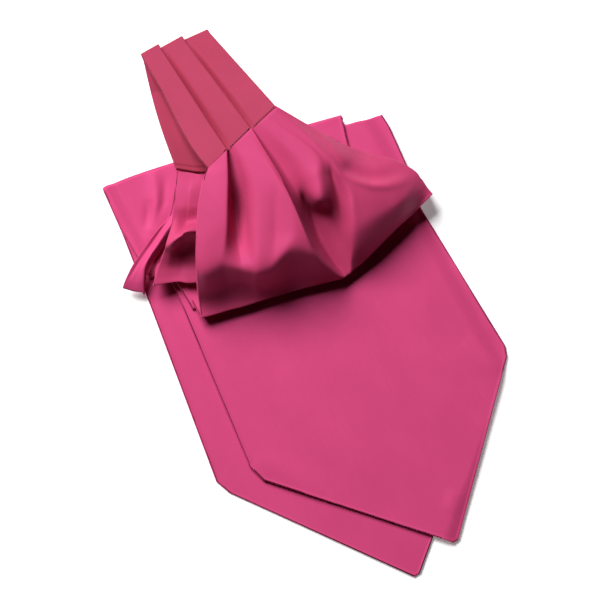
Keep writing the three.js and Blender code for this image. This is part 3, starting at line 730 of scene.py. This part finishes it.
# The front fan: below the stitches the three pleats open, swell over the crest and roll under
# at the puff's lower edge. Each pleat's folded edge stands over the valley of the next one.
FRONT_FAN = {
    "left": [
        ["outer edge", 0,
         [(-19.7, 75.7, 33), (-28.9, 63.3, 34.4), (-38.6, 46.2, 35), (-45, 33.7, 32.6)],
         [(-48.1, 27.1, 23), (-50, 21.7, 14.5), (-51.6, 17, 10.6)], (-52.9, 13.3, 8.8)],
        ["pleat's flat", 0.5,
         [(-15.6, 70, 34.2), (-24.2, 55.7, 35.4), (-32.7, 43, 35.8), (-40.4, 30.3, 33.6)],
         [(-42.2, 24.7, 25), (-43.8, 20.6, 15.5), (-45.6, 15.7, 10.8)], (-47.1, 11.8, 8.6)],
        ["folded edge", 1,
         [(-6.1, 71.1, 35), (-13.1, 57.2, 35.8), (-20.1, 44.2, 36.2), (-29.6, 30.5, 34.6)],
         [(-31.2, 24.6, 26.5), (-33, 20, 16.5), (-35.5, 14.4, 10.8)], (-37.6, 10.2, 8.6)],
    ],
    "middle": [
        ["deep valley", 0,
         [(-4.6, 70.4, 26), (-10.1, 57.1, 18.5), (-16.4, 42.4, 24), (-22.8, 25, 32.6)],
         [(-24.1, 20, 25), (-25.2, 17.2, 16.5), (-27.8, 12, 10.8)], (-29.5, 8.4, 8.6)],
        ["valley's side", 0.14,
         [(-1.7, 67.1, 28), (-6.7, 54.3, 24), (-12.6, 39.5, 28.5), (-18.7, 21.9, 33.6)],
         [(-20.4, 16.9, 26), (-22, 14.2, 16), (-23.8, 10.6, 10.8)], (-25.1, 7.7, 8.6)],
        ["rising side", 0.3,
         [(2.7, 64.9, 33.6), (-2.7, 50.8, 33.8), (-8, 36.8, 34.6), (-14.8, 18.8, 34.4)],
         [(-17.2, 14.7, 26.5), (-18.6, 11.4, 16), (-19.7, 8.7, 11)], (-20.3, 7.1, 8.6)],
        ["soft dip", 0.58,
         [(11.5, 59.9, 36.2), (7.2, 45.6, 36.3), (1.8, 32, 35.6), (-7.7, 17.5, 34)],
         [(-9.3, 13, 26), (-10.1, 9.5, 16), (-10.7, 7, 11)], (-11.1, 5.5, 8.6)],
        ["swell", 0.82,
         [(16.1, 54.7, 37.4), (13.6, 40.6, 37.8), (10.3, 28.3, 37.8), (5, 19.7, 36.6)],
         [(3.6, 14, 28), (2, 9, 18), (1.1, 5.4, 11.5)], (0.5, 3.4, 8.6)],
        ["folded edge", 1,
         [(17.3, 66.6, 37.6), (17.5, 45.9, 38.4), (16.4, 26.2, 37.4), (16, 13.9, 33.8)],
         [(17.5, 8.5, 29), (20.1, 3.5, 22), (22.9, -0.1, 14.5)], (26, -2.4, 8.6)],
    ],
    "right": [
        ["deep valley", 0,
         [(20.7, 67.5, 29.4), (21.9, 48.6, 28), (21.9, 34.6, 19), (22, 23, 14)],
         [(22.9, 15.3, 12), (24.5, 7.7, 10.4), (25.9, 2.1, 9.4)], (26.9, -1.9, 8.6)],
        ["dark patch", 0.18,
         [(25, 67.8, 31), (25.2, 50.2, 29.6), (25.2, 43.4, 22), (25.5, 35.6, 14)],
         [(25.4, 23.6, 12.5), (26, 10.6, 11.2), (26.7, 3.2, 10)], (27.4, -1.8, 8.6)],
        ["bulge", 0.36,
         [(31.1, 64.4, 33.8), (30, 49.3, 34.4), (28.5, 38.2, 32.5), (28.8, 35, 17)],
         [(28.2, 25.4, 14.5), (27.6, 12.6, 12.5), (27.4, 3.9, 10.4)], (27.7, -1.8, 8.6)],
        ["ridge", 0.52,
         [(39.2, 62.5, 34.8), (36, 48.1, 36.6), (32.4, 36.4, 34.8), (31.9, 32.9, 20)],
         [(31, 25.2, 17), (29, 12.8, 13.6), (28.1, 4.1, 10.6)], (28.2, -1.7, 8.6)],
        ["ridge's drop", 0.6,
         [(42.3, 60.5, 34), (40.7, 46.7, 33), (37.3, 36.6, 31), (35.4, 30.4, 23.5)],
         [(33.9, 23.8, 19), (30.8, 11.7, 14.5), (28.9, 3.1, 10.6)], (28.8, -1.6, 8.6)],
        ["long hollow", 0.7,
         [(44, 59.1, 33.6), (43.2, 45.6, 30.4), (41.4, 35.1, 26.8), (38.8, 26.4, 23)],
         [(35.4, 17.3, 19.5), (32.6, 8.2, 15), (30.6, 2.1, 11)], (29.4, -1.6, 8.6)],
        ["face's edge", 0.78,
         [(46, 59.4, 33.5), (46.3, 45.9, 32.2), (46.9, 35.3, 31.4), (43.4, 25.1, 30.2)],
         [(39.3, 15.8, 27), (35.8, 7.6, 20.5), (33.1, 2.2, 13)], (31.8, -0.8, 8.6)],
        ["swoop, near", 0.86,
         [(47.5, 58.7, 33), (49.3, 44.7, 31.2), (52, 34.7, 31), (49.4, 23.9, 30)],
         [(46.1, 15.1, 27.8), (43.6, 7.6, 21.5), (42.3, 3.6, 13.5)], (41.8, 1.9, 8.8)],
        ["swoop, middle", 0.92,
         [(50.4, 58.4, 31.2), (54.4, 45.2, 29.2), (60.6, 31.5, 29), (61.5, 21.6, 27.4)],
         [(60.5, 15.9, 25.2), (59.9, 11, 19.5), (59.7, 8.9, 13.6)], (59.9, 8, 9.4)],
        ["swoop, far", 0.965,
         [(53.3, 60.5, 27.6), (60.9, 48.2, 24.5), (70.3, 31.3, 25.4), (73.3, 22, 24.2)],
         [(73, 17.8, 22.2), (72.7, 14.3, 17.5), (72.5, 12.5, 12.6)], (72.7, 11.7, 9.9)],
        ["outer edge", 1,
         [(55.7, 65, 23), (67.5, 53.4, 17.4), (79.3, 43.3, 16.6), (86.7, 32.7, 15.5)],
         [(87.9, 25.8, 14.6), (88.7, 21.3, 13.4), (89.2, 18.6, 12.2)], (89.6, 16.9, 11)],
    ],
}
FAN_CREASES = [
    {"path": [(37.4, 84.8), (39.9, 77.9), (42.1, 70.5), (44.1, 62.7), (45.3, 53.3)],
     "width": 1.5, "height": 0.5},
    {"path": [(40.5, 85), (43, 78), (45.4, 70.5), (47.8, 62), (49.6, 52)],
     "width": 1.8, "height": -0.9},
    {"path": [(44.6, 55), (48, 45), (53, 38.6), (59, 33), (66.1, 29.6), (75, 28.5), (86, 30.5)],
     "width": 2, "height": 1.3},
    {"path": [(50, 50), (55, 44), (62, 37.6), (70, 35), (80, 35)],
     "width": 3.2, "height": -1.5},
    {"path": [(12, 53), (5, 37.6), (-3, 23)],
     "width": 1.8, "height": -0.6},
]
CREASES_SHOW = {"none": 14, "full": 22}
FAN_START = (0, 0.8, -0.35)
FRONT_STEPS = 12
ROLL_BRIDGE = 4
# LIP_LIFT raises the puff's lower edge, so that its rolled face lies in shadow. The others shape
# the pocket below each pleat's folded edge.
LIP_LIFT = 1.8
OVERHANG = 1
UNDER_EDGE = {"ways": (0.12, 0.4, 0.7), "reach": 0.6}
UNDERCUT = [0.4, 1, 1, 0.7, 0.15, 0, 0, 0, 0, 0, 0]


def front_floor(x, y):
    """Where the front fan ends: on the front return."""
    return front_return_base(x - ROLL_BRIDGE, y) + LAYER


columns = []
for pleat in BAND_PLEATS:
    rows = []
    for row in FRONT_FAN[pleat["name"]]:
        line = fold_line(row, on_pleat(pleat, row[1], 0) + FAN_START, front_floor)
        line[-4, 2] += LIP_LIFT / 2
        line[-3:-1, 2] += LIP_LIFT
        rows.append(line)
    if columns:
        edge, valley = columns[-1], rows[0]
        cut = np.array(UNDERCUT)
        for way in UNDER_EDGE["ways"]:
            under = edge * (1 - way) + valley * way
            under[:, :2] += (edge - valley)[:, :2] * (UNDER_EDGE["reach"] * way * cut)[:, None]
            under[:, 0] -= OVERHANG * cut * np.sin(np.pi * way)
            columns.append(under)
    columns += list(spline(np.array(rows), FRONT_STEPS))
grid = spline(np.array(columns).transpose(1, 0, 2), DOWN_STEPS)
for fold in FAN_CREASES:
    above = smoothstep(grid[..., 2], CREASES_SHOW["none"], CREASES_SHOW["full"])
    grid[..., 2] += above * crease(grid[..., 0], grid[..., 1], fold)
grid = softened(grid, 3)
inside = inside_of(grid, FAN_CLOTH)
front_fan = sewn_piece("front_fan_cloth", grid, inside, cloth=fan_satin_painted_shade)
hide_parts("front_fan")
